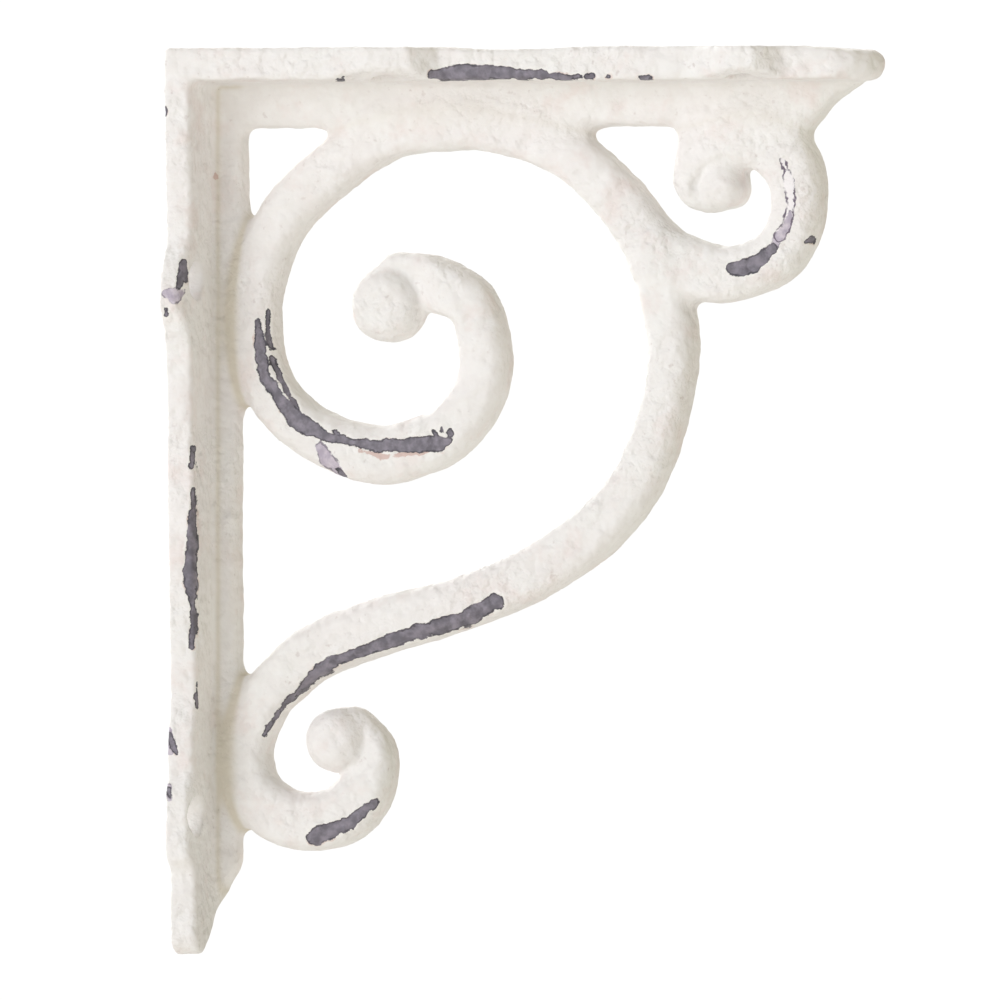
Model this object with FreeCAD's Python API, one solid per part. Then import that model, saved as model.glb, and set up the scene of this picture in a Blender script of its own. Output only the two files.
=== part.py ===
import FreeCAD, Part

import os

# A scroll shelf bracket, cast in grey iron in one pour, modelled member by member.
# X runs out from the wall, Z runs up, and the flat back of the casting lies in Y = 0,
# with everything else in front of it, towards -Y.
# The wall face is X = 0 and the shelf rests on Z = 0, so the origin is the heel of the L.
# The members meet face to face along the lines where the pattern's pieces were glued up.

V = FreeCAD.Vector

# Driving dimensions, millimetres
HEIGHT = 152.4            # shelf face to the tip of the wall tongue
REACH = 123.0             # wall face to the tip of the shelf tongue
SHELF_THICK = 5.5
WALL_THICK = 4.6

# Each plate has a square heel, two screw ears and a rounded tongue. Its near edge is given as
# distance from the heel and distance in front of the flat back, then round the tongue.
SHELF_EDGE = [
    (0.0, 18.9), (27.0, 18.9), (36.0, 20.6), (43.4, 20.6), (48.6, 16.4), (60.0, 16.2),
    (91.6, 16.2), (99.4, 20.6), (103.4, 20.6), (108.8, 16.4), (116.5, 16.1),
]
SHELF_TONGUE = [
    (116.5, 16.1), (120.6, 14.4), (122.8, 11.0), (REACH, 8.0), (121.2, 4.2), (115.8, 0.0),
]
WALL_EDGE = [
    (SHELF_THICK, 18.9), (20.0, 18.6), (31.0, 17.7), (35.6, 19.9), (40.3, 21.4), (43.4, 21.4),
    (47.0, 19.4), (51.0, 18.0), (64.0, 17.6), (87.0, 16.6), (109.0, 15.4), (113.5, 16.4),
    (122.0, 16.8), (125.5, 18.4), (135.8, 18.4), (139.0, 15.8), (150.0, 15.5),
]
WALL_TONGUE = [
    (150.0, 15.5), (151.8, 13.8), (HEIGHT, 12.0), (151.4, 10.0), (147.8, 6.6), (141.8, 0.0),
]

HOLE_RADIUS = 3.25
HOLE_MIDDLE = 14.6        # from the flat back
WALL_HOLES = (39.0, 129.0)      # below the shelf face
SHELF_HOLES = (38.5, 100.5)     # out from the wall face
DRILL_SPARE = 1.0

# Ribs, along the flat back edge of each plate
RIB_DEPTH = 5.5
WALL_RIB_TOP_OUT = 4.7    # how far it stands out from its plate
WALL_RIB_FOOT_OUT = 3.7
WALL_RIB_TAPER = (-28.0, -62.0)
WALL_RIB_RUNOUT = (-137.9, -142.0)
SHELF_RIB_BOTTOM = -13.4
SHELF_RIB_RUNOUT = ((109.4, -13.4), (111.9, -9.6), (118.2, -SHELF_THICK))
HEEL_RIB_X = WALL_THICK + WALL_RIB_TOP_OUT

# Scrolls: bars with a flat back and a rounded front
SCROLL_DEPTH = 7.0
SCROLL_ROUND = 3.0
SIDE_STEPS = 40           # places along a bar where its width is worked out
EYE_RISE = 0.6            # how far the eyes stand above the scrolls' crown
EYE_ROUND = 3.0

# Centre lines, each from the outside in: X, Z and the width of the bar there
VOLUTE = [
    (49.4, -12.8, 8.6), (35.0, -14.3, 8.6), (23.2, -21.5, 9.0), (15.0, -30.4, 8.6),
    (11.1, -43.0, 8.4), (12.8, -55.5, 8.6), (20.1, -63.9, 8.7), (31.8, -68.3, 10.0),
    (40.0, -66.8, 10.0), (45.3, -64.4, 9.3), (49.8, -59.3, 8.7), (51.6, -52.7, 8.4),
    (49.5, -43.6, 8.3), (43.1, -39.8, 9.4), (37.6, -39.8, 8.6),
]
SWEEP = [
    (49.4, -12.8, 8.5), (60.9, -15.5, 8.4), (70.9, -21.3, 8.5), (80.1, -32.4, 9.0),
    (83.9, -45.2, 8.5), (84.0, -55.7, 8.1), (79.9, -69.4, 8.4), (72.8, -79.2, 9.0),
    (60.6, -87.9, 9.0), (46.2, -93.6, 9.0), (33.2, -97.1, 9.9), (21.4, -101.6, 9.5),
    (13.2, -108.7, 8.6),
]
LOWER_CURL = [
    (13.2, -108.7, 8.6), (9.6, -117.6, 8.4), (11.3, -125.5, 9.1), (18.0, -129.8, 9.9),
    (25.7, -129.2, 9.6), (30.9, -125.4, 8.8), (31.3, -119.0, 8.0), (27.8, -115.2, 6.8),
]
UPPER_CURL = [
    (82.6, -34.8, 8.4), (89.9, -37.7, 9.2), (95.9, -37.8, 9.2), (103.1, -34.6, 8.9),
    (106.4, -27.2, 8.8), (105.1, -19.7, 9.2), (99.6, -14.6, 8.2), (91.4, -15.4, 7.0),
]
# Eyes: X, Z and radius
VOLUTE_EYE = (34.6, -43.1, 6.4)
LOWER_EYE = (25.8, -116.3, 5.5)
UPPER_EYE = (90.9, -21.5, 6.4)


def line(start, end):
    return Part.LineSegment(start, end).toShape()


def polyline(points):
    return [line(a, b) for a, b in zip(points[:-1], points[1:])]


def spline(points):
    """A smooth open curve through the points, as one edge."""
    curve = Part.BSplineCurve()
    curve.interpolate(points)
    return curve.toShape()


def prism(edges, travel):
    """Extrude a closed flat outline."""
    return Part.Face(Part.Wire(edges)).extrude(travel)


def front_edges(body, depth, shortest=0.0):
    """The edges that lie wholly in the front face Y = -depth."""
    found = []
    for edge in body.Edges:
        box = edge.BoundBox
        if box.YMax < -depth + 1e-4 and edge.Length > shortest:
            found.append(edge)
    return found


def half_width(path, knots, place):
    """Half the bar's width at a place along its centre line, eased from point to point."""
    span = 0
    while span < len(knots) - 2 and place > knots[span + 1]:
        span += 1
    share = (place - knots[span]) / (knots[span + 1] - knots[span])
    share = share * share * (3 - 2 * share)
    return 0.5 * (path[span][2] * (1 - share) + path[span + 1][2] * share)


def bar(path):
    """A bar with a flat back and rounded front, along a centre line whose width varies."""
    centre = Part.BSplineCurve()
    centre.interpolate([V(x, 0, z) for x, z, width in path])
    knots = [centre.parameter(V(x, 0, z)) for x, z, width in path]
    left = []
    right = []
    for i in range(SIDE_STEPS + 1):
        place = centre.FirstParameter + (centre.LastParameter - centre.FirstParameter) * i / SIDE_STEPS
        along = centre.tangent(place)[0]
        across = V(-along.z, 0, along.x) * half_width(path, knots, place)
        left.append(centre.value(place) + across)
        right.append(centre.value(place) - across)
    outline = [line(right[0], left[0]), spline(left), line(left[-1], right[-1]), spline(right)]
    body = prism(outline, V(0, -SCROLL_DEPTH, 0))
    long_sides = front_edges(body, SCROLL_DEPTH, 2 * path[0][2])
    return body.makeFillet(SCROLL_ROUND, long_sides)


def eye(place):
    """The button at the middle of a scroll."""
    x, z, radius = place
    depth = SCROLL_DEPTH + EYE_RISE
    body = Part.makeCylinder(radius, depth, V(x, 0, z), V(0, -1, 0))
    return body.makeFillet(EYE_ROUND, front_edges(body, depth))


def plate_outline(edge, tongue, place):
    """Outline of a plate. place(distance from the heel, width) gives a point of it."""
    near = [place(*corner) for corner in edge]
    end = [place(*corner) for corner in tongue]
    back = [end[-1], place(edge[0][0], 0), near[0]]
    return polyline(near) + [spline(end)] + polyline(back)


def shelf_plate():
    """The upper flange that the shelf rests on, with its two screw holes."""
    outline = plate_outline(SHELF_EDGE, SHELF_TONGUE, lambda d, w: V(d, -w, 0))
    body = prism(outline, V(0, 0, -SHELF_THICK))
    for x in SHELF_HOLES:
        mouth = V(x, -HOLE_MIDDLE, DRILL_SPARE)
        drill = Part.makeCylinder(HOLE_RADIUS, SHELF_THICK + 2 * DRILL_SPARE, mouth, V(0, 0, -1))
        body = body.cut(drill)
    return body


def wall_plate():
    """The upright flange, butted under the upper one, with its two screw holes."""
    outline = plate_outline(WALL_EDGE, WALL_TONGUE, lambda d, w: V(0, -w, -d))
    body = prism(outline, V(WALL_THICK, 0, 0))
    for depth in WALL_HOLES:
        mouth = V(-DRILL_SPARE, -HOLE_MIDDLE, -depth)
        drill = Part.makeCylinder(HOLE_RADIUS, WALL_THICK + 2 * DRILL_SPARE, mouth, V(1, 0, 0))
        body = body.cut(drill)
    return body


def wall_rib():
    """The rib down the back edge of the wall plate, a little slimmer below the volute."""
    foot = WALL_THICK + WALL_RIB_FOOT_OUT
    corners = [
        (WALL_THICK, -SHELF_THICK), (HEEL_RIB_X, -SHELF_THICK), (HEEL_RIB_X, WALL_RIB_TAPER[0]),
        (foot, WALL_RIB_TAPER[1]), (foot, WALL_RIB_RUNOUT[0]), (WALL_THICK, WALL_RIB_RUNOUT[1]),
        (WALL_THICK, -SHELF_THICK),
    ]
    return prism(polyline([V(x, 0, z) for x, z in corners]), V(0, -RIB_DEPTH, 0))


def shelf_rib():
    """The rib under the back edge of the shelf plate, swept up into it near the tongue."""
    low, middle, high = [V(x, 0, z) for x, z in SHELF_RIB_RUNOUT]
    edges = polyline([high, V(HEEL_RIB_X, 0, -SHELF_THICK), V(HEEL_RIB_X, 0, SHELF_RIB_BOTTOM), low])
    edges.append(Part.Arc(low, middle, high).toShape())
    return prism(edges, V(0, -RIB_DEPTH, 0))


def write(node, shape):
    """One STEP file for one member, which is one solid."""
    print(node, len(shape.Solids), "solid, valid", shape.isValid(), round(shape.Volume), "mm3")
    shape.Solids[0].exportStep("parts/%s.step" % node)


os.makedirs("parts", exist_ok=True)

members = {
    "shelf_plate": shelf_plate(),
    "wall_plate": wall_plate(),
    "shelf_rib": shelf_rib(),
    "wall_rib": wall_rib(),
    "volute_eye": eye(VOLUTE_EYE),
    "lower_eye": eye(LOWER_EYE),
    "upper_eye": eye(UPPER_EYE),
}
ribs = members["shelf_rib"].fuse(members["wall_rib"])
members["outer_sweep"] = bar(SWEEP).cut(ribs)
members["volute"] = bar(VOLUTE).cut(ribs).cut(members["volute_eye"])
for curl, curl_path in (("lower", LOWER_CURL), ("upper", UPPER_CURL)):
    body = bar(curl_path)
    for neighbour in (ribs, members["outer_sweep"], members[curl + "_eye"]):
        body = body.cut(neighbour)
    members[curl + "_curl"] = body
for node, shape in members.items():
    write(node, shape)
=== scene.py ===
import math

import bpy
import numpy as np
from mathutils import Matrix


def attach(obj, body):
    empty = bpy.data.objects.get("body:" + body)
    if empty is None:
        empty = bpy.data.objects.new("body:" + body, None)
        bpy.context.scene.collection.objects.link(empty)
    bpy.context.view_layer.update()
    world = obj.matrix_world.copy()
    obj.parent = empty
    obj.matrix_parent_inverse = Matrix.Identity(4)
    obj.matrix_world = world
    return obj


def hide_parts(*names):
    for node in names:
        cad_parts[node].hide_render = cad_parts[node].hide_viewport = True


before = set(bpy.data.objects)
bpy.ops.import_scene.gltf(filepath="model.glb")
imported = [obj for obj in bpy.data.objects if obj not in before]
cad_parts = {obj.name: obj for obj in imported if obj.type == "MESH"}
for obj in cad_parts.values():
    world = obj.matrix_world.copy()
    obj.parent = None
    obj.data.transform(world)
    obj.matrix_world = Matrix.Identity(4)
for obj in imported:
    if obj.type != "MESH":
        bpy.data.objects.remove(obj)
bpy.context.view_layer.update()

# ---- The two plates ------------------------------------------------------------------
# Grey iron flanges, 5.5 and 4.6 mm thick, cast in one with everything else. The shelf is
# screwed to one and the other is screwed to the wall, through four plain cored holes.
# Their near edges swell into ears at the holes and end in a rounded tongue.
# The bracket is one casting, so each member is given as a distance field, in millimetres,
# negative inside the metal, and the fields are run together further down.
PITCH = 0.3    # between samples of a field
HEIGHT, REACH = 152.4, 123.0
SHELF_THICK, WALL_THICK = 5.5, 4.6
# Edge of each plate: distance from the heel, and distance in front of the flat back
SHELF_EDGE = [
    (24.0, 18.9), (27.0, 18.9), (36.4, 20.6), (43.8, 20.6), (47.6, 16.5), (60.0, 16.2), (91.6, 16.2),
    (99.6, 20.6), (104.2, 20.6), (107.9, 16.5), (116.5, 16.1), (119.6, 15.2), (121.9, 12.9),
    (REACH, 9.6), (122.9, 7.0), (121.4, 4.4), (118.6, 1.8), (115.8, 0.0), (107.0, -6.0),
]
WALL_EDGE = [
    (2.0, 18.9), (20.0, 18.6), (28.0, 17.8), (32.0, 17.7), (36.0, 19.9), (40.3, 21.6), (43.4, 21.7),
    (46.6, 19.6), (50.0, 18.2), (56.0, 17.5), (64.0, 17.6), (75.0, 17.2), (87.0, 16.6), (100.0, 16.0),
    (109.0, 15.3), (113.5, 16.4), (118.0, 17.0), (122.5, 16.8), (125.5, 18.4), (135.8, 18.4),
    (138.6, 15.9), (150.3, 15.6), (151.9, 13.8), (HEIGHT, 12.0), (151.6, 10.2), (150.2, 8.5),
    (148.2, 6.9), (146.2, 5.3), (144.2, 3.3), (142.9, 1.6), (141.8, 0.0), (138.0, -6.0),
]
HOLE_RADIUS, HOLE_MIDDLE = 3.25, 14.6
WALL_HOLES, SHELF_HOLES = (39.0, 129.0), (38.5, 100.5)
EARS_RUN = (4.0, 10.0)    # an ear is full to the first distance from its middle, gone at the second
EAR_STARTS = 16.4         # from the flat back; past there the ears get thinner
SHELF_EAR_THINNING, WALL_EAR_THINNING = 0.36, 0.20
PLATE_DRAFT, DRAFT_LEVEL = 0.035, 15.8   # a plate is its full thickness that far from the back
CORNER_FILLET, HOLE_EDGE = 1.5, 0.5
PLATE_EDGE, TIP_EDGE = 0.9, 1.7          # edges are rounded by the first, and the second more at the tip
TIP_RUN = (114, 121)
HEEL_RUN = (-7, 7)        # across the mitre at the heel, one plate's edge passes into the other's
WORN_CORNER = 1.2
SPARE = 6.0               # how far a member runs on past the faces that cut it off
NOWHERE = -9.0            # deep inside, where a cut has no say

# The samples' places, with a little air all round
out_from_wall = np.arange(-1.5, REACH + 2.4, PITCH, dtype=np.float32)
towards_room = np.arange(-22.8, 1.4, PITCH, dtype=np.float32)
upwards = np.arange(-HEIGHT - 2.2, 1.4, PITCH, dtype=np.float32)
X, Y, Z = out_from_wall[:, None, None], towards_room[None, :, None], upwards[None, None, :]


def outline_distance(a, b, corners):
    """Distance to a closed flat outline, for every pair of an a and a b."""
    a, b = a[:, None], b[None, :]
    nearest = np.full((a.size, b.size), 1e9, np.float32)
    inside = np.zeros(nearest.shape, bool)
    for (a0, b0), (a1, b1) in zip(corners, np.roll(corners, -1, axis=0)):
        da, db = a1 - a0, b1 - b0
        share = np.clip(((a - a0) * da + (b - b0) * db) / (da * da + db * db), 0, 1)
        off = (a - a0 - share * da) ** 2 + (b - b0 - share * db) ** 2
        nearest = np.minimum(nearest, off.astype(np.float32))
        if b1 != b0:
            inside ^= ((b0 > b) != (b1 > b)) & (a < (b - b0) * da / db + a0)
    return np.where(inside, -1, 1).astype(np.float32) * np.sqrt(nearest)


def worn_outline(corners, reach, step=0.5):
    """The same outline with its corners rubbed round over about that reach."""
    corners = np.array(corners, float)
    runs = []
    for start, end in zip(corners, np.roll(corners, -1, axis=0)):
        count = max(1, int(round(np.hypot(*(end - start)) / step)))
        runs.append(start + (end - start) * (np.arange(count) / count)[:, None])
    points = np.concatenate(runs)
    half = max(1, int(reach / step / 2))
    for _ in range(2):
        points = sum(np.roll(points, k, axis=0) for k in range(-half, half + 1)) / (2 * half + 1)
    return points


def meet(a, b, radius):
    """Where two bodies overlap, with the edge between their faces rounded."""
    inner = np.minimum(np.maximum(a, b), -radius)
    return inner + np.hypot(np.maximum(a + radius, 0), np.maximum(b + radius, 0))


def join(a, b, radius):
    """Two bodies run together, with a fillet in the corner between them."""
    outer = np.maximum(np.minimum(a, b), radius)
    return outer - np.hypot(np.maximum(radius - a, 0), np.maximum(radius - b, 0))


def ease(value, start, end):
    """0 before start, 1 after end, smooth between."""
    share = np.clip((value - start) / (end - start), 0, 1)
    return share * share * (3 - 2 * share)


def plate_outline(edge):
    """The whole outline of a plate, run on past the heel and the flat back."""
    return worn_outline([(-SPARE, edge[0][1])] + edge + [(-SPARE, -SPARE)], WORN_CORNER)


def ears_of(ears, along):
    """1 at an ear's middle, 0 away from the ears."""
    return sum(1 - ease(abs(along - ear), *EARS_RUN) for ear in ears)


forward = -towards_room
shelf_edge = outline_distance(out_from_wall, forward, plate_outline(SHELF_EDGE))[:, :, None]
wall_edge = outline_distance(forward, -upwards, plate_outline(WALL_EDGE)[:, ::-1])[None]
past_holes = np.maximum(-Y - EAR_STARTS, 0)
draft = PLATE_DRAFT * (Y + DRAFT_LEVEL)
shelf_under = SHELF_THICK + draft - SHELF_EAR_THINNING * past_holes * ears_of(SHELF_HOLES, X)
wall_room = WALL_THICK + draft - WALL_EAR_THINNING * past_holes * ears_of(WALL_HOLES, -Z)
slabs = join(-Z - shelf_under, X - wall_room, CORNER_FILLET)
shelf_share = ease(X + Z, *HEEL_RUN)
edge = shelf_edge * shelf_share + wall_edge * (1 - shelf_share)
plates = meet(slabs, edge, PLATE_EDGE + TIP_EDGE * ease(X, *TIP_RUN))
for x in SHELF_HOLES:
    drilled = HOLE_RADIUS - np.hypot(X - x, Y + HOLE_MIDDLE)
    plates = meet(plates, np.where(X > -Z, drilled, NOWHERE), HOLE_EDGE)
for depth in WALL_HOLES:
    drilled = HOLE_RADIUS - np.hypot(Z + depth, Y + HOLE_MIDDLE)
    plates = meet(plates, np.where(X > -Z, NOWHERE, drilled), HOLE_EDGE)
plates = plates.astype(np.float32)

# ---- The two ribs --------------------------------------------------------------------
# A rib down the flat back edge of each plate, cast with it, which stiffens the corner.
# Each runs out into its plate in a soft ramp short of the tongue.
RIB_DEPTH = 5.5
RIB_ROUND = 2.0
RIB_DRAFT = 0.06
RIB_WORN_CORNER = 3.2
# The face towards the scrolls, X and Z, from the shelf's tongue to the wall's
RIB_INSIDE = [
    (118.2, -SHELF_THICK), (115.4, -7.2), (111.9, -9.9), (109.4, -13.4),
    (9.3, -13.4), (9.3, -28.0), (8.3, -62.0), (8.3, -137.9), (6.6, -140.1), (WALL_THICK, -142.0),
]
RIB_OUTSIDE = [(3.4, -146.0), (-SPARE, -146.0), (-SPARE, SPARE), (119.5, SPARE)]

rib_outline = worn_outline(RIB_INSIDE + RIB_OUTSIDE, RIB_WORN_CORNER)
rib_side = outline_distance(out_from_wall, upwards, rib_outline)[:, None, :]
ribs = meet(rib_side - RIB_DRAFT * Y, -Y - RIB_DEPTH, RIB_ROUND)

# ---- The scrolls ---------------------------------------------------------------------
# Bars with a flat back and a rounded front, cast with the ribs that they spring from: the
# volute, the long outer sweep, and a curl at each end of it. Every bar follows a smooth
# line through the stations where its middle and its width are given.
SCROLL_DEPTH = 7.0
SCROLL_ROUND = 2.0
SCROLL_HALF = 4.4          # half the width of a usual bar
SCROLL_DRAFT = 0.05
SCROLL_DOME = 0.6          # how much lower the front is at its sides than along its middle
SCROLL_SINK = 1.1          # how much lower the crown is where a bar runs into a rib
RIB_RUN = (-2.0, 5.0)      # distance from the rib over which it rises again
LINE_STEP = 0.8            # between points of a bar's centre line
# X, Z and width of the bar, in order along it
VOLUTE = [
    (49.4, -12.8, 8.6), (35.0, -14.3, 8.6), (23.2, -21.5, 9.0), (15.0, -30.4, 8.6),
    (11.1, -43.0, 8.4), (12.8, -55.5, 8.6), (20.1, -63.9, 8.7), (31.8, -68.3, 10.0),
    (40.0, -66.8, 10.0), (45.3, -64.4, 9.3), (49.8, -59.3, 8.7), (51.6, -52.7, 8.4),
    (49.5, -43.6, 8.3), (43.1, -39.8, 9.6), (36.6, -39.5, 10.6),
]
SWEEP = [
    (49.4, -12.8, 8.5), (60.9, -15.5, 8.4), (70.9, -21.3, 8.5), (80.1, -32.4, 9.0),
    (83.9, -45.2, 8.5), (84.0, -55.7, 8.1), (79.9, -69.4, 8.4), (72.8, -79.2, 9.0),
    (60.6, -87.9, 9.0), (46.2, -93.6, 9.0), (33.2, -97.1, 9.9), (21.4, -101.6, 9.5),
    (13.2, -108.7, 8.6),
]
LOWER_CURL = [
    (13.2, -108.7, 8.6), (9.6, -117.6, 8.4), (11.3, -125.5, 9.1), (18.0, -129.8, 9.9),
    (25.6, -129.0, 9.9), (30.0, -125.0, 9.8), (31.3, -118.8, 8.6), (28.0, -114.7, 8.2),
]
UPPER_CURL = [
    (82.6, -34.8, 9.8), (89.9, -37.7, 10.2), (95.9, -37.8, 9.2), (103.1, -34.6, 8.9),
    (106.4, -27.2, 8.8), (105.1, -19.7, 9.8), (99.3, -15.3, 10.6), (90.0, -17.4, 9.6),
]


def add_node(tree, kind, inputs, gives=0, **settings):
    """Adds a node with its settings. inputs has a value, or an output to link, for each socket by
    name or number. Returns the output with the name or number that gives says, if it has any."""
    made = tree.nodes.new(kind)
    for name, value in settings.items():
        setattr(made, name, value)
    for key, value in inputs.items():
        if isinstance(value, bpy.types.NodeSocket):
            tree.links.new(value, made.inputs[key])
        else:
            made.inputs[key].default_value = value
    return made.outputs[gives] if made.outputs else None


def geometry_tree(name, sizes):
    """A Geometry Nodes tree with a geometry in and out, a number for each size and a material."""
    tree = bpy.data.node_groups.new(name, "GeometryNodeTree")
    tree.interface.new_socket("Geometry", in_out="INPUT", socket_type="NodeSocketGeometry")
    for size in sizes:
        tree.interface.new_socket(size, in_out="INPUT", socket_type="NodeSocketFloat")
    tree.interface.new_socket("Material", in_out="INPUT", socket_type="NodeSocketMaterial")
    tree.interface.new_socket("Geometry", in_out="OUTPUT", socket_type="NodeSocketGeometry")
    return tree, tree.nodes.new("NodeGroupInput").outputs


def finish_tree(tree, given, shape):
    """The end of every tree: real geometry with its material."""
    real = add_node(tree, "GeometryNodeRealizeInstances", {"Geometry": shape})
    dressed = add_node(tree, "GeometryNodeSetMaterial", {"Geometry": real, "Material": given["Material"]})
    add_node(tree, "NodeGroupOutput", {0: dressed})


def shaped_by(tree, mesh, values):
    """The plain mesh that the tree makes of a mesh."""
    rough = bpy.data.objects.new(tree.name, mesh)
    bpy.context.scene.collection.objects.link(rough)
    modifier = rough.modifiers.new(tree.name, "NODES")
    modifier.node_group = tree
    for socket in tree.interface.items_tree:
        if socket.in_out == "INPUT" and socket.name in values:
            modifier[socket.identifier] = values[socket.name]
    rough.update_tag()
    graph = bpy.context.evaluated_depsgraph_get()
    made = bpy.data.meshes.new_from_object(rough.evaluated_get(graph))
    bpy.data.objects.remove(rough)
    return made


line_tree, given = geometry_tree("scroll_line", ["Spacing"])
cornered = add_node(line_tree, "GeometryNodeMeshToCurve", {"Mesh": given["Geometry"]})
smooth = add_node(line_tree, "GeometryNodeCurveSplineType", {"Curve": cornered},
                  spline_type="CATMULL_ROM")
even = add_node(line_tree, "GeometryNodeResampleCurve",
                {"Curve": smooth, "Length": given["Spacing"]}, mode="LENGTH")
finish_tree(line_tree, given, add_node(line_tree, "GeometryNodeCurveToMesh", {"Curve": even}))


def numbers_of(mesh, name, kind="FLOAT"):
    """Reads a mesh attribute, point by point."""
    wide = 3 if kind == "FLOAT_VECTOR" else 1
    read = np.zeros(len(mesh.attributes[name].data) * wide, np.float32)
    mesh.attributes[name].data.foreach_get("vector" if wide == 3 else "value", read)
    return read.reshape(-1, 3) if wide == 3 else read


def write_numbers(mesh, name, values):
    """Gives a mesh a number for each point."""
    mesh.attributes.new(name, "FLOAT", "POINT").data.foreach_set("value", np.asarray(values, np.float32))


def line_distance(a, b, line, half_widths):
    """Distance to the side of a bar whose middle follows a line, its width changing on the way."""
    nearest = np.full(np.broadcast(a, b).shape, 1e9, np.float32)
    for i in range(len(line) - 1):
        a0, b0 = line[i]
        da, db = line[i + 1] - line[i]
        share = np.clip(((a - a0) * da + (b - b0) * db) / (da * da + db * db + 1e-9), 0, 1)
        half = half_widths[i] + share * (half_widths[i + 1] - half_widths[i])
        off = np.hypot(a - a0 - share * da, b - b0 - share * db) - half
        nearest = np.minimum(nearest, off.astype(np.float32))
    return nearest


def scroll_side(stations):
    """Distance to the side of a scroll, seen square on, for every X and Z."""
    mesh = bpy.data.meshes.new("stations")
    links = [(i, i + 1) for i in range(len(stations) - 1)]
    mesh.from_pydata([(x / 1000, 0, z / 1000) for x, z, width in stations], links, [])
    write_numbers(mesh, "half_width", [width / 2 for x, z, width in stations])
    smooth_line = shaped_by(line_tree, mesh, {"Spacing": LINE_STEP / 1000})
    points = numbers_of(smooth_line, "position", "FLOAT_VECTOR")[:, ::2] * 1000
    halves = numbers_of(smooth_line, "half_width")
    return line_distance(out_from_wall[:, None], upwards[None, :], points, halves)[:, None, :]


def rounded_front(side, depth, radius, half=SCROLL_HALF):
    """A bar or button with that side, standing that far in front of the flat back, and domed."""
    dome = SCROLL_DOME * np.clip(1 + side / half, 0, 1.2) ** 2
    return meet(side - SCROLL_DRAFT * Y, -Y - depth + dome, radius).astype(np.float32)


# The eyes' places are needed here already, because the bars sink as they come up to one:
# X, Z, radius, depth and roundness of the edge
VOLUTE_EYE = (34.6, -43.1, 6.4, 7.9, 3.0)
LOWER_EYE = (25.8, -116.3, 5.5, 7.6, 3.0)
EYE_SINK = 1.6
EYE_RUN = (-0.5, 4.5)      # distance from the eye over which the bar rises again

crown = SCROLL_DEPTH - SCROLL_SINK * (1 - ease(rib_side, *RIB_RUN))
for x, z, radius, _, _ in (VOLUTE_EYE, LOWER_EYE):
    crown = crown - EYE_SINK * (1 - ease(np.hypot(X - x, Z - z) - radius, *EYE_RUN))
volute, sweep, lower_curl, upper_curl = [rounded_front(scroll_side(stations), crown, SCROLL_ROUND)
                                         for stations in (VOLUTE, SWEEP, LOWER_CURL, UPPER_CURL)]

# ---- The eyes ------------------------------------------------------------------------
# A domed button at the middle of each coil, cast with it and a little prouder, so that
# the coil dips before it meets the button. The upper one is a broad low eye that carries
# a small button, with a groove round its upper left.
UPPER_EYE = (90.9, -21.5, 6.4, 7.0, 2.8)
UPPER_BUTTON = (94.3, -23.8, 3.3, 7.6, 2.2)
BUTTON_FILLET = 0.6
GROOVE_RADIUS, GROOVE_HALF, GROOVE_DEPTH = 4.5, 1.7, 0.8
GROOVE_LEAN = 0.9          # how far it leans over to the left
GROOVE_ENDS = (-1.5, 2.5)


def button(place):
    """A round button standing on the flat back."""
    x, z, radius, depth, roundness = place
    return rounded_front(np.hypot(X - x, Z - z) - radius, depth, roundness, radius)


volute_eye = button(VOLUTE_EYE)
lower_eye = button(LOWER_EYE)
upper_eye = join(button(UPPER_EYE), button(UPPER_BUTTON), BUTTON_FILLET)
dx, dz = X - UPPER_BUTTON[0], Z - UPPER_BUTTON[1]
in_groove = np.clip(1 - np.abs(np.hypot(dx, dz) - GROOVE_RADIUS) / GROOVE_HALF, 0, 1)
groove = GROOVE_DEPTH * ease(in_groove, 0, 1) * ease(dz - GROOVE_LEAN * dx, *GROOVE_ENDS)

# ---- Pouring the casting -------------------------------------------------------------
# One pour of grey iron in a sand mould, so every member runs into the next in a fillet.
# The flat back, the wall face and the shelf face cut everything off level.
BACK_EDGE, FACE_EDGE, TIP_FACE_EDGE = 0.5, 0.7, 1.6
TIP_FACE_RUN = (115, 121)
EYE_FILLET, CURL_FILLET, RIB_FILLET, SCROLL_FILLET = 0.8, 2.0, 2.0, 3.5
GROOVE_LEVELS = (3.5, 6.0)  # in front of the back: the groove is gone at the first, full at the second
# The shelf face sags a little between the ears, and falls away at the tongue
SAG, SAG_STARTS, SAG_ENDS = 0.4, (45, 54), (62, 76)
TIP_FALL, TIP_FALLS = 0.6, (108, 123)

sag = SAG * ease(X, *SAG_STARTS) * (1 - ease(X, *SAG_ENDS)) + TIP_FALL * ease(X, *TIP_FALLS)
scrolls = np.minimum(np.minimum(volute, sweep), lower_curl)
two_eyes = join(upper_eye, lower_eye, EYE_FILLET)
coils = join(join(scrolls, upper_curl, CURL_FILLET), two_eyes, EYE_FILLET)
coils = join(coils, volute_eye, EYE_FILLET)
metal = join(join(plates, ribs, RIB_FILLET), coils, SCROLL_FILLET)
metal = metal + groove * ease(-Y, *GROOVE_LEVELS)
# The same with sharp corners between the three, which shows where the fillets are
square = np.minimum(np.minimum(plates, ribs), coils)
for face, radius in ((Y, BACK_EDGE), (-X, FACE_EDGE),
                     (Z + sag, FACE_EDGE + TIP_FACE_EDGE * ease(X, *TIP_FACE_RUN))):
    metal = meet(metal, face, radius)
    square = np.maximum(square, face)
metal, square = metal.astype(np.float32), square.astype(np.float32)

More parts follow.
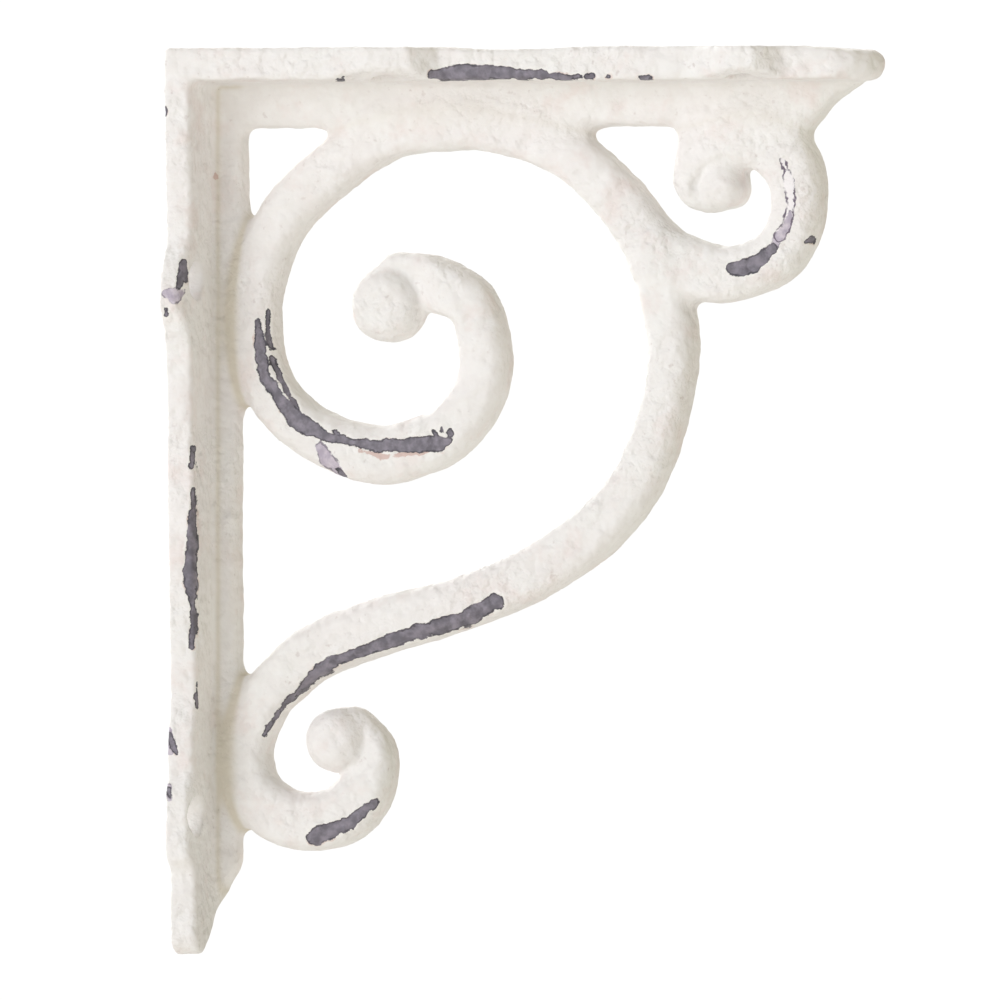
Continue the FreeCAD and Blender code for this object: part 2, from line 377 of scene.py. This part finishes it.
# Which member each spot of the metal belongs to: the one with the lowest field there
UNDER_HEEL = 7.0           # further out than this, all of a plate's metal is the shelf's
RIB_CORNER = 9.3           # the wall's rib ends there and the shelf's begins
EYE_FIRST = 0.6            # by so much an eye goes before its coil
ELSEWHERE = 9.0
shelf_side = (Z > -SHELF_THICK) | (X > UNDER_HEEL)
past_corner = X > RIB_CORNER
member_fields = {
    "shelf_plate": np.where(shelf_side, plates, ELSEWHERE),
    "wall_plate": np.where(shelf_side, ELSEWHERE, plates),
    "shelf_rib": np.where(past_corner, ribs, ELSEWHERE),
    "wall_rib": np.where(past_corner, ELSEWHERE, ribs),
    "outer_sweep": sweep, "volute": volute, "volute_eye": volute_eye - EYE_FIRST,
    "lower_curl": lower_curl, "lower_eye": lower_eye - EYE_FIRST,
    "upper_curl": upper_curl, "upper_eye": upper_eye - EYE_FIRST,
}
nearest = np.full(metal.shape, 1e9, np.float32)
member = np.zeros(metal.shape, np.int8)    # 1 and up, and 0 in the air
for number, field in enumerate(member_fields.values(), 1):
    closer = field < nearest
    nearest = np.where(closer, field, nearest)
    member[np.broadcast_to(closer, metal.shape)] = number
member[metal >= 0] = 0

# The skin between them: one point in every cell that the surface or a boundary between two
# members runs through, and one face across every edge of the grid that it cuts. sides has
# the members behind and ahead of each face, and outer says which faces are bare surface.
cells = np.array(metal.shape)
quads, sides, spots, outer = [], [], [], []
for axis in range(3):
    low, high = [slice(None)] * 3, [slice(None)] * 3
    low[axis], high[axis] = slice(None, -1), slice(1, None)
    low, high = tuple(low), tuple(high)
    cut = np.argwhere(member[low] != member[high])
    at = tuple(cut.T)
    behind, ahead = member[low][at], member[high][at]
    bare_surface = (behind == 0) | (ahead == 0)
    fall = np.where(bare_surface, metal[low][at] - metal[high][at], 1)
    spot = cut.astype(np.float32)
    spot[:, axis] += np.where(bare_surface, metal[low][at] / fall, 0.5)
    corner_cells = []
    for second, third in ((0, 0), (-1, 0), (-1, -1), (0, -1)):
        cell = cut.copy()
        cell[:, (axis + 1) % 3] += second
        cell[:, (axis + 2) % 3] += third
        corner_cells.append(np.ravel_multi_index(cell.T, cells))
    quads.append(np.stack(corner_cells, axis=1))
    sides.append(np.stack([behind, ahead], axis=1))
    spots.append(spot)
    outer.append(bare_surface)
quads, sides = np.concatenate(quads), np.concatenate(sides)
spots, outer = np.concatenate(spots), np.concatenate(outer)
used, quads = np.unique(quads, return_inverse=True)
quads = quads.reshape(-1, 4)
count = len(used)
# A cell's point starts at the middle of the places where its edges are cut
points = np.zeros((count, 3))
on_skin = np.bincount(quads[outer].ravel(), minlength=count) > 0
for group, take in ((outer, on_skin), (~outer, ~on_skin)):
    chosen = quads[group].ravel()
    hits = np.bincount(chosen, minlength=count)
    for k in range(3):
        total = np.bincount(chosen, np.repeat(spots[group][:, k], 4), minlength=count)
        points[take, k] = total[take] / hits[take]


def field_at(field, places):
    """The field between its samples, at places given in grid steps."""
    base = np.clip(np.floor(places).astype(int), 0, cells - 2)
    share = places - base
    value = 0
    for corner in range(8):
        step = np.array([corner >> 2 & 1, corner >> 1 & 1, corner & 1])
        weight = np.prod(np.where(step, share, 1 - share), axis=1)
        value = value + weight * field[tuple((base + step).T)]
    return value


def slope_at(field, places, reach=0.5):
    """How fast the field rises along each axis there."""
    return np.stack([(field_at(field, places + step) - field_at(field, places - step)) / (2 * reach)
                     for step in np.eye(3) * reach], axis=1)


# Slide each point of the skin on to the surface itself
for _ in range(3):
    slope = slope_at(metal, points[on_skin])
    off = field_at(metal, points[on_skin])[:, None]
    points[on_skin] -= np.clip(off * slope / np.maximum((slope ** 2).sum(1, keepdims=True), 1e-6), -1, 1)
# How far into a filleted hollow each point of the skin lies, which sets how much shade is painted there
hollow_shade = np.zeros(count)
hollow_shade[on_skin] = field_at(square, points[on_skin])
points = points * PITCH + np.array([out_from_wall[0], towards_room[0], upwards[0]])

# ---- Worn places ---------------------------------------------------------------------
# Where the paint is rubbed and knocked off down to the dark undercoat. The wear is given as
# runs: how far forward a place on the surface has to be to belong to one, then the run's own
# places across and up, each with its width. Across is X as it is seen from 17 degrees to the
# right of square on, level with the flat back.
TURN = math.tan(math.radians(17.0))
ANYWHERE, CROWNS, FRONTS, NEAR_EDGES = -1.0, -2.0, -3.0, -14.5
DARK = [
    # volute, its lower left: a long band, and a thin one beside it
    (FRONTS, [(10.6, -46.0, 0.7), (10.8, -47.5, 1.3), (11.2, -51.6, 1.7), (11.5, -54.1, 1.7),
        (12.4, -55.9, 1.7), (14.1, -58.1, 1.7), (15.6, -60.1, 2.0), (17.3, -62.3, 2.5),
        (19.6, -63.7, 2.7), (22.8, -65.2, 1.2), (28.4, -66.5, 1.0), (31.0, -66.7, 1.7),
        (35.2, -66.7, 1.8), (39.3, -66.5, 2.2), (42.6, -66.5, 2.4), (44.2, -65.9, 0.7)]),
    (FRONTS, [(12.6, -44.2, 0.2), (12.4, -46.2, 0.5), (12.7, -48.4, 0.7), (13.3, -50.4, 0.7)]),
    (FRONTS, [(13.3, -52.1, 0.7), (14.1, -53.9, 0.7), (15.9, -57.8, 0.7), (17.8, -60.5, 0.3)]),
    (FRONTS, [(24.0, -64.3, 0.3), (25.9, -65.4, 0.3)]),
    # outer sweep, its lower arm
    (FRONTS, [(52.6, -92.9, 2.4), (47.4, -95.9, 2.5), (41.7, -97.3, 2.0), (35.9, -99.0, 2.2),
        (30.3, -100.8, 1.7), (26.3, -102.3, 1.5), (23.1, -103.7, 2.2), (20.8, -105.3, 2.0),
        (18.9, -107.2, 1.5), (17.7, -108.5, 0.5), (15.9, -109.9, 0.7), (14.5, -111.6, 0.4),
        (12.6, -114.2, 0.5), (11.9, -115.4, 0.3)]),
    # lower curl
    (FRONTS, [(20.7, -132.6, 2.5), (23.8, -131.4, 2.4), (27.0, -130.2, 2.1), (28.9, -128.4, 1.5),
        (31.0, -127.0, 1.2), (31.7, -126.5, 0.5)]),
    # upper curl
    (FRONTS, [(94.1, -37.0, 1.8), (95.7, -37.1, 2.2), (97.8, -36.3, 2.5), (99.6, -35.1, 1.8),
        (101.0, -33.6, 1.4)]),
    (FRONTS, [(106.8, -32.8, 0.3), (107.8, -32.4, 1.2)]),
    # flecks at the right end of the volute's band and beside its violet patch
    (FRONTS, [(41.6, -64.2, 0.3), (41.9, -65.0, 0.35)]),
    (FRONTS, [(42.9, -63.5, 0.3), (43.1, -64.4, 0.35)]),
    (FRONTS, [(44.3, -64.3, 0.25), (44.5, -64.8, 0.3)]),
    (FRONTS, [(24.9, -70.6, 0.3), (26.4, -72.0, 0.4)]),
    # near edge of the shelf plate
    (NEAR_EDGES, [(41.2, -4.5, 1.0), (45.4, -4.4, 2.5), (48.2, -4.4, 2.5), (52.6, -4.5, 2.0),
        (57.6, -4.7, 1.5), (61.1, -4.8, 1.0), (64.9, -5.0, 0.5), (66.9, -5.0, 0.3)]),
    (NEAR_EDGES, [(24.8, -5.2, 0.1), (25.8, -5.2, 0.15)]),
    (NEAR_EDGES, [(68.6, -5.1, 0.3), (69.6, -5.1, 0.35)]),
    (NEAR_EDGES, [(72.0, -5.1, 0.25), (72.5, -5.1, 0.25)]),
    (NEAR_EDGES, [(78.0, -5.1, 0.3), (79.8, -5.1, 0.2)]),
    # near edge and corner of the wall plate
    (NEAR_EDGES, [(-0.7, -67.2, 0.5), (-0.7, -70.4, 0.7)]),
    (NEAR_EDGES, [(-0.6, -74.3, 0.5), (-0.6, -76.6, 0.8), (-0.6, -81.5, 1.3), (-0.8, -84.3, 1.8),
        (-1.0, -87.5, 2.0), (-1.0, -89.9, 2.2), (-1.0, -91.1, 1.3)]),
    (NEAR_EDGES, [(-0.6, -92.1, 0.8), (-0.6, -96.8, 1.0), (-0.8, -100.5, 0.5)]),
    (NEAR_EDGES, [(0.2, -106.7, 0.4), (0.2, -110.7, 0.4)]),
    (NEAR_EDGES, [(-2.2, -36.0, 0.5), (-2.5, -38.1, 1.5), (-2.9, -39.8, 1.3)]),
    (NEAR_EDGES, [(-5.5, -43.8, 0.1), (-5.4, -44.8, 0.25)]),
    (NEAR_EDGES, [(-5.6, -10.3, 0.2), (-5.5, -11.2, 0.2)]),
    (NEAR_EDGES, [(-4.9, -115.0, 0.3), (-4.2, -117.3, 0.7), (-3.6, -118.3, 0.4)]),
    (NEAR_EDGES, [(-4.9, -124.6, 0.4), (-4.7, -125.6, 0.5)]),
]
VIOLET = [
    (CROWNS, [(21.5, -66.9, 1.3), (22.6, -68.5, 2.0), (24.2, -70.1, 1.5), (25.9, -71.7, 0.5)]),
    (FRONTS, [(100.4, -34.3, 0.5), (101.4, -33.0, 1.2), (102.5, -31.6, 1.0), (103.7, -29.6, 1.1),
        (104.2, -27.6, 0.3)]),
    # round the screw ear of the wall plate, and below the lower one
    (NEAR_EDGES, [(-5.2, -41.2, 1.2), (-3.8, -41.5, 2.2), (-3.0, -41.0, 1.6)]),
    (NEAR_EDGES, [(-5.0, -114.4, 0.6), (-4.4, -118.0, 1.0)]),
    (NEAR_EDGES, [(-4.9, -124.2, 0.5), (-4.8, -126.0, 0.5)]),
]
SCUFFED = [
    (FRONTS, [(102.2, -31.8, 1.2), (103.7, -29.4, 1.2), (104.3, -26.5, 1.0), (104.1, -23.7, 1.3),
        (103.5, -20.8, 0.9), (102.7, -18.9, 0.2)]),
]
RUST = [
    (FRONTS, [(28.6, -67.5, 0.3), (33.0, -68.7, 0.35), (35.2, -68.4, 0.35), (40.7, -67.7, 0.3)]),
    (FRONTS, [(29.8, -101.6, 0.3), (30.3, -101.4, 0.3)]),
    (ANYWHERE, [(3.2, -21.2, 0.5), (3.4, -21.4, 0.5)]),
]
FAR = 4.0                 # past that distance from worn places it doesn't matter
# Shade is painted into the hollows, darker in the hollows by the wall plate than in those among the
# scrolls
OPEN_HOLLOWS, DEEP_RUN = 0.25, (8.5, 11.5)


def worn(runs):
    """Distance to the nearest edge of these worn places, negative inside them."""
    across = points[:, 0] + TURN * points[:, 1]
    nearest = np.full(count, FAR)
    for forward_of, run in runs:
        line = np.array(run)
        close = line_distance(across, points[:, 2], line[:, :2], line[:, 2] / 2)
        nearest = np.minimum(nearest, np.maximum(close, points[:, 1] - forward_of))
    return nearest


deep = OPEN_HOLLOWS + (1 - OPEN_HOLLOWS) * (1 - ease(points[:, 0], *DEEP_RUN))
wear_and_shade = {"bare": worn(DARK), "violet": worn(VIOLET), "scuffed": worn(SCUFFED), "rust": worn(RUST),
        "hollow_shade": np.clip(hollow_shade, 0, 1) * deep}

# ---- The paint -----------------------------------------------------------------------
# Antique white chalk paint, brushed over a grey-violet undercoat on cast iron. It is
# dry and nearly matt, a hair under 0.2 mm thick at a broken edge, and rubbed pinkish with
# rust around the bare places.
# The colour in the hollows is painted shade: a darker, yellower beige where the light falls off in the
# filleted corners
WHITE_WARM, WHITE_COOL, HOLLOW_SHADE = "F6F3F2", "F4F3F1", "D9D0BC"
BRUSHED_THIN, IN_PITS, RUBBED_PINK = "E6DFDC", "CBC0BD", "EBDDD9"
# The dark lip colours are painted shadow: the line that the step of the paint film shades along the edge
# of a bare, violet or scuffed place
UNDERCOAT, UNDERCOAT_PALE, UNDERCOAT_SHADOW_LINE = "6C6872", "938D99", "3C3A42"
PALE_VIOLET, VIOLET_WHITE, VIOLET_SHADOW_LINE = "B5ABBB", "D3CAD4", "6B6272"
SCUFFED_WHITE, SCUFFED_SHADOW_LINE = "F8F4F6", "6B5F70"
# The broken-edge white is partly the chalky edge of the film and partly a painted highlight where that
# edge catches the light
RUST_PINK, BROKEN_EDGE_HIGHLIGHT = "CCA79D", "FBF8F5"
CHALK_ROUGHNESS, CHALK_IOR = 0.55, 1.5
# Cloudy patterns from about -1 to 1: size in mm, detail, roughness, and how far moved
CLOUDS = {
    "tear": (2.2, 3.0, 0.6, 0.0), "fine tear": (0.5, 2.0, 0.55, 0.0),
    "wide cloud": (22.0, 3.0, 0.55, 0.0), "brush marks": (3.4, 3.0, 0.6, 43.0),
    "pits": (1.2, 2.0, 0.55, 71.0), "pitted parts": (15.0, 3.0, 0.55, 83.0),
    "rubbing": (7.0, 4.0, 0.6, 19.0), "rusting": (5.0, 3.0, 0.55, 57.0),
    "violet cloud": (1.2, 3.0, 0.55, 11.0), "violet breaks": (1.6, 3.0, 0.55, 67.0),
    "scuff breaks": (1.5, 3.0, 0.55, 5.0), "undercoat cloud": (1.8, 3.0, 0.55, 23.0),
    "lip breaks": (2.2, 3.0, 0.55, 31.0), "rough parts": (16.0, 2.0, 0.55, 61.0),
    "grain": (1.6, 2.5, 0.55, 3.0), "lumps": (2.6, 1.5, 0.55, 9.0),
}
# The edge of a worn place is torn by two of them, and pushed out a little, in mm
TEAR, FINE_TEAR, PUSHED_OUT = 0.46, 0.09, -0.2
# Rims of worn places, where a dark shadow line of the paint film's step is painted: the place, and how far
# inside its edge the rim's middle lies, in mm
RIMS = {"violet rim": ("violet", 0.0), "scuffed rim": ("scuffed", 0.0), "bare rim": ("bare", 0.09)}
# How much shows of each thing: its strength, then each pattern that it follows, with the
# level at which there is none of it and the level at which it is full
SHARES = {
    "cool": (1.0, [("wide cloud", -0.8, 0.8)]),
    "thin": (0.3, [("brush marks", -0.9, 0.9)]),
    "pits": (0.5, [("pits", 0.5, 1.1), ("pitted parts", -0.6, 0.5)]),
    "pink": (0.55, [("rubbing", 0.0, 1.0)]),
    # painted shade in the filleted hollows
    "painted shade in hollows": (0.75, [("hollow_shade", 0.02, 0.8)]),
    # a painted highlight, lighter white just outside each bare place
    "broken edge highlight": (0.7, [("bare", 0.5, 0.15)]),
    "scuffed": (1.0, [("scuffed", 0.05, -0.05)]),
    "scuffed shadow line": (1.0, [("scuffed rim", 0.22, 0.08), ("scuff breaks", -0.6, 0.2)]),
    "rust ring": (0.5, [("bare", 0.38, 0.12), ("rusting", 0.15, 0.8)]),
    "rust streak": (0.7, [("rust", 0.1, -0.1)]),
    "violet": (1.0, [("violet", 0.08, -0.08)]),
    "violet white": (1.0, [("violet cloud", -0.6, 0.8)]),
    "violet shadow line": (0.8, [("violet rim", 0.2, 0.06), ("violet breaks", -0.3, 0.3)]),
    "bare": (1.0, [("bare", 0.05, -0.05)]),
    "pale undercoat": (1.0, [("undercoat cloud", -0.7, 0.9)]),
    "undercoat shadow line": (0.8, [("bare rim", 0.2, 0.08), ("lip breaks", -0.7, 0.1)]),
    "rough": (0.17, [("rough parts", -0.9, 0.6)]),
}
# What lies over what, from the lowest up, each with its share
LAYERS = {
    "violet patch": (PALE_VIOLET, [("violet white", VIOLET_WHITE)]),
    "undercoat": (UNDERCOAT, [("pale undercoat", UNDERCOAT_PALE), ("undercoat shadow line", UNDERCOAT_SHADOW_LINE)]),
    "paint": (WHITE_WARM, [
        ("cool", WHITE_COOL), ("thin", BRUSHED_THIN), ("pits", IN_PITS), ("pink", RUBBED_PINK),
        ("painted shade in hollows", HOLLOW_SHADE), ("broken edge highlight", BROKEN_EDGE_HIGHLIGHT), ("scuffed", SCUFFED_WHITE),
        ("rust", RUST_PINK), ("violet", "violet patch"), ("violet shadow line", VIOLET_SHADOW_LINE),
        ("scuffed shadow line", SCUFFED_SHADOW_LINE), ("bare", "undercoat")]),
}
# Heights in the fine relief that is too small for the mesh, in mm
LUMP_RELIEF, FILM_RELIEF = 0.2, 0.14


def linear(colour):
    """An sRGB hex colour as linear light."""
    parts = [int(colour[i:i + 2], 16) / 255 for i in (0, 2, 4)]
    return [c / 12.92 if c <= 0.04045 else ((c + 0.055) / 1.055) ** 2.4 for c in parts] + [1]


paint = bpy.data.materials.new("chalk_paint_on_cast_iron")
paint.use_nodes = True
tree = paint.node_tree
tree.nodes.clear()
in_metres = add_node(tree, "ShaderNodeTexCoord", {}, gives="Object")
place = add_node(tree, "ShaderNodeVectorMath", {0: in_metres, 1: (1000, 1000, 1000)},
                 operation="MULTIPLY")
pattern = {}
for name, (size, detail, roughness, moved) in CLOUDS.items():
    shifted = add_node(tree, "ShaderNodeVectorMath", {0: place, 1: (moved, moved, moved)})
    noise = add_node(tree, "ShaderNodeTexNoise", {
        "Vector": shifted, "Scale": 1 / size, "Detail": detail, "Roughness": roughness}, gives="Fac")
    pattern[name] = add_node(tree, "ShaderNodeMath", {0: noise, 1: 4.0, 2: -2.0},
                             operation="MULTIPLY_ADD")
torn = add_node(tree, "ShaderNodeMath", {0: pattern["tear"], 1: TEAR, 2: PUSHED_OUT},
                operation="MULTIPLY_ADD")
torn = add_node(tree, "ShaderNodeMath", {0: pattern["fine tear"], 1: FINE_TEAR, 2: torn},
                operation="MULTIPLY_ADD")
for name in wear_and_shade:
    given_wear = add_node(tree, "ShaderNodeAttribute", {}, gives="Fac", attribute_name=name)
    pattern[name] = add_node(tree, "ShaderNodeMath", {0: given_wear, 1: 0.0 if name == "hollow_shade" else torn})
for name, (worn_place, inside) in RIMS.items():
    from_middle = add_node(tree, "ShaderNodeMath", {0: pattern[worn_place], 1: inside})
    pattern[name] = add_node(tree, "ShaderNodeMath", {0: from_middle}, operation="ABSOLUTE")
share = {}
for name, (strength, follows) in SHARES.items():
    share[name] = strength
    for which, none, full in follows:
        level = add_node(tree, "ShaderNodeMapRange", {
            "Value": pattern[which], "From Min": none, "From Max": full},
            interpolation_type="SMOOTHSTEP")
        share[name] = add_node(tree, "ShaderNodeMath", {0: level, 1: share[name]},
                               operation="MULTIPLY")
share["rust"] = add_node(tree, "ShaderNodeMath", {0: share["rust ring"], 1: share["rust streak"]},
                         operation="MAXIMUM")
made_up = {}
for name, (lowest, coats) in LAYERS.items():
    colour = linear(lowest)
    for amount, coat in coats:
        coat = made_up[coat] if coat in made_up else linear(coat)
        colour = add_node(tree, "ShaderNodeMix", {0: share[amount], 6: colour, 7: coat},
                          gives=2, data_type="RGBA")
    made_up[name] = colour

relief = add_node(tree, "ShaderNodeMath", {0: pattern["grain"], 1: share["rough"]},
                  operation="MULTIPLY")
relief = add_node(tree, "ShaderNodeMath", {0: pattern["lumps"], 1: LUMP_RELIEF, 2: relief},
                  operation="MULTIPLY_ADD")
relief = add_node(tree, "ShaderNodeMath", {0: share["bare"], 1: -FILM_RELIEF, 2: relief},
                  operation="MULTIPLY_ADD")
bump = add_node(tree, "ShaderNodeBump", {"Height": relief, "Distance": 0.001, "Strength": 1.0})
shader = add_node(tree, "ShaderNodeBsdfPrincipled", {
    "Base Color": made_up["paint"], "Roughness": CHALK_ROUGHNESS, "IOR": CHALK_IOR, "Normal": bump})
add_node(tree, "ShaderNodeOutputMaterial", {"Surface": shader})

# ---- The sand-cast skin --------------------------------------------------------------
# Sand casting leaves a wavy, slightly lumpy surface with a fine pitted grain, and the
# paint film ends in a low step around each bare place.
SKIN_DETAIL = {"Wave": 1.0, "Lump": 2.0, "Grain": 3.0}
SKIN_SIZES = {                # metres
    "Wave Size": 0.014, "Wave Height": 0.00014, "Lump Size": 0.0030, "Lump Height": 0.00012,
    "Grain Size": 0.0013, "Grain Height": 0.00005, "Paint Film": 0.00012,
    "Seed": 4.0,
}
FILM_STEP = 0.25              # the step in the film is spread over that far each side, in mm

skin_tree, given = geometry_tree("cast_skin", SKIN_SIZES)
spot = add_node(skin_tree, "GeometryNodeInputPosition", {})
lift = 0.0
for layer, detail in SKIN_DETAIL.items():
    per_metre = add_node(skin_tree, "ShaderNodeMath", {0: 1.0, 1: given[layer + " Size"]},
                         operation="DIVIDE")
    rough = add_node(skin_tree, "ShaderNodeTexNoise", {
        "Vector": spot, "W": given["Seed"], "Scale": per_metre, "Detail": detail},
        gives="Fac", noise_dimensions="4D")
    centred = add_node(skin_tree, "ShaderNodeMath", {0: rough, 1: 4.0, 2: -2.0},
                       operation="MULTIPLY_ADD")
    lift = add_node(skin_tree, "ShaderNodeMath", {0: centred, 1: given[layer + " Height"], 2: lift},
                    operation="MULTIPLY_ADD")
bareness = add_node(skin_tree, "GeometryNodeInputNamedAttribute", {"Name": "bare"}, data_type="FLOAT")
stripped = add_node(skin_tree, "ShaderNodeMapRange", {
    "Value": bareness, "From Min": FILM_STEP, "From Max": -FILM_STEP}, interpolation_type="SMOOTHSTEP")
sunk = add_node(skin_tree, "ShaderNodeMath", {0: stripped, 1: given["Paint Film"]},
                operation="MULTIPLY")
lift = add_node(skin_tree, "ShaderNodeMath", {0: lift, 1: sunk}, operation="SUBTRACT")
outwards = add_node(skin_tree, "GeometryNodeInputNormal", {})
offset = add_node(skin_tree, "ShaderNodeVectorMath", {0: outwards, "Scale": lift}, operation="SCALE")
moved = add_node(skin_tree, "GeometryNodeSetPosition", {"Geometry": given["Geometry"],
                                                        "Offset": offset})
finish_tree(skin_tree, given, moved)


def quad_mesh(name, corners, faces):
    """A mesh of four-sided faces, from arrays, in metres."""
    mesh = bpy.data.meshes.new(name)
    mesh.vertices.add(len(corners))
    mesh.vertices.foreach_set("co", (corners / 1000).astype(np.float32).ravel())
    mesh.loops.add(faces.size)
    mesh.loops.foreach_set("vertex_index", faces.astype(np.int32).ravel())
    mesh.polygons.add(len(faces))
    mesh.polygons.foreach_set("loop_start", np.arange(0, faces.size, 4, dtype=np.int32))
    mesh.update(calc_edges=True)
    mesh.shade_smooth()
    return mesh


def facing(chosen, number):
    """The chosen faces, turned so that they face out of that member, or out of any with None."""
    inside_first = sides[chosen, 0] == number if number else sides[chosen, 0] != 0
    turned = quads[chosen]
    turned[~inside_first] = turned[~inside_first][:, ::-1]
    return turned


skin_faces = facing(np.flatnonzero(outer), None)
skin_index = np.cumsum(on_skin) - 1
skin = quad_mesh("skin", points[on_skin], skin_index[skin_faces])
for name in wear_and_shade:
    write_numbers(skin, name, wear_and_shade[name][on_skin])
skin = shaped_by(skin_tree, skin, {**SKIN_SIZES, "Material": paint})
points[on_skin] = numbers_of(skin, "position", "FLOAT_VECTOR") * 1000
skin_normals = np.zeros(len(skin.vertices) * 3, np.float32)
skin.vertices.foreach_get("normal", skin_normals)
normals = np.zeros((count, 3), np.float32)
normals[on_skin] = skin_normals.reshape(-1, 3)

# Part the casting into its members along the pattern's joints. The shading follows the
# whole casting, so the joints don't show.
for number, name in enumerate(member_fields, 1):
    chosen = np.flatnonzero((sides == number).any(axis=1))
    faces = facing(chosen, number)
    kept, local = np.unique(faces, return_inverse=True)
    mesh = quad_mesh(name + "_casting", points[kept], local.reshape(-1, 4))
    for layer in wear_and_shade:
        write_numbers(mesh, layer, wear_and_shade[layer][kept])
    flat = np.zeros(len(mesh.polygons) * 3, np.float32)
    mesh.polygons.foreach_get("normal", flat)
    shading = np.where(outer[chosen][:, None, None], normals[faces], flat.reshape(-1, 1, 3))
    mesh.normals_split_custom_set(shading.reshape(-1, 3).tolist())
    mesh.materials.append(paint)
    piece = bpy.data.objects.new(name + "_casting", mesh)
    bpy.context.scene.collection.objects.link(piece)
    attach(piece, "root")
    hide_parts(name)

# ---- Floor, light and camera ---------------------------------------------------------
# A plain pale floor below, in soft light that is strongest from the wall side and a little
# from the front, with a warm, weaker fill from the room side. Past the bracket there is
# only plain white.
FLOOR_WIDE, FLOOR_LEVEL = 3.2, -0.30
FLOOR_WHITE, FLOOR_ROUGHNESS = "F2F1EF", 0.9
# Degrees round from straight in front (the wall side is negative), degrees up, strength, colour
SOFTBOXES = [
    (-30, 5, 3.4, "FCFDFF"), (-30, 40, 1.0, "FFFDFD"), (-30, -30, 0.4, "FFFAFA"),
    (-120, 5, 2.1, "FFFFFB"), (-120, 40, 2.75, "FFFFFF"), (-150, 5, 3.5, "FFFFFD"),
    (0, -30, 1.2, "FFFFFF"), (30, -30, 1.35, "FFFDF0"), (60, -30, 2.0, "FFFBE6"),
    (90, -30, 2.2, "FFFAE2"), (120, 40, 1.5, "FFF8E2"), (0, 90, 0.55, "FFF4DC"),
    (25, 5, 0.4, "FFFFFF"), (85, 5, 0.3, "FFF6D8"),
]
SPREAD = 10.0                 # a larger one makes each box of light narrower
BACKDROP_WHITE, BACKDROP = "FFFFFF", 1.05
DISTANCE = 6.0
FRAME_WIDE = 0.168            # of the picture, at the bracket's own distance
AIM = (0.0533, 0.0, -0.0759)
SWING = math.radians(17.0)    # the camera stands that far round to the room side
SENSOR = 36.0

scene = bpy.context.scene
scene.view_settings.view_transform = "Standard"

bpy.ops.mesh.primitive_plane_add(size=FLOOR_WIDE, location=(0, 0, FLOOR_LEVEL))
floor = bpy.context.object
floor.name = "floor"
matt = bpy.data.materials.new("matt_white_floor")
matt.use_nodes = True
finish = matt.node_tree.nodes["Principled BSDF"].inputs
finish["Base Color"].default_value = linear(FLOOR_WHITE)
finish["Roughness"].default_value = FLOOR_ROUGHNESS
floor.data.materials.append(matt)

world = bpy.data.worlds.new("soft_light")
scene.world = world
world.use_nodes = True
tree = world.node_tree
tree.nodes.clear()
way = add_node(tree, "ShaderNodeTexCoord", {}, gives="Generated")
glow = None
for round_degrees, up_degrees, strength, tone in SOFTBOXES:
    turn, rise = math.radians(round_degrees), math.radians(up_degrees)
    towards = (math.sin(turn) * math.cos(rise), -math.cos(turn) * math.cos(rise), math.sin(rise))
    aligned = add_node(tree, "ShaderNodeVectorMath", {0: way, 1: towards}, gives="Value",
                       operation="DOT_PRODUCT")
    aligned = add_node(tree, "ShaderNodeMath", {0: aligned, 1: 0.0}, operation="MAXIMUM")
    spread = add_node(tree, "ShaderNodeMath", {0: aligned, 1: SPREAD}, operation="POWER")
    power = add_node(tree, "ShaderNodeMath", {0: spread, 1: strength}, operation="MULTIPLY")
    box = add_node(tree, "ShaderNodeBackground", {"Color": linear(tone), "Strength": power})
    glow = add_node(tree, "ShaderNodeAddShader", {0: glow, 1: box}) if glow else box
white = add_node(tree, "ShaderNodeBackground", {"Color": linear(BACKDROP_WHITE),
                                                "Strength": BACKDROP})
direct = add_node(tree, "ShaderNodeLightPath", {}, gives="Is Camera Ray")
seen = add_node(tree, "ShaderNodeMixShader", {0: direct, 1: glow, 2: white})
add_node(tree, "ShaderNodeOutputWorld", {"Surface": seen})

camera = bpy.data.objects.new("camera", bpy.data.cameras.new("camera"))
scene.collection.objects.link(camera)
camera.location = (AIM[0] + DISTANCE * math.sin(SWING), AIM[1] - DISTANCE * math.cos(SWING), AIM[2])
camera.rotation_euler = (math.pi / 2, 0, SWING)
camera.data.sensor_width = SENSOR
camera.data.lens = SENSOR * DISTANCE / FRAME_WIDE
camera.data.clip_end = 20.0
scene.camera = camera
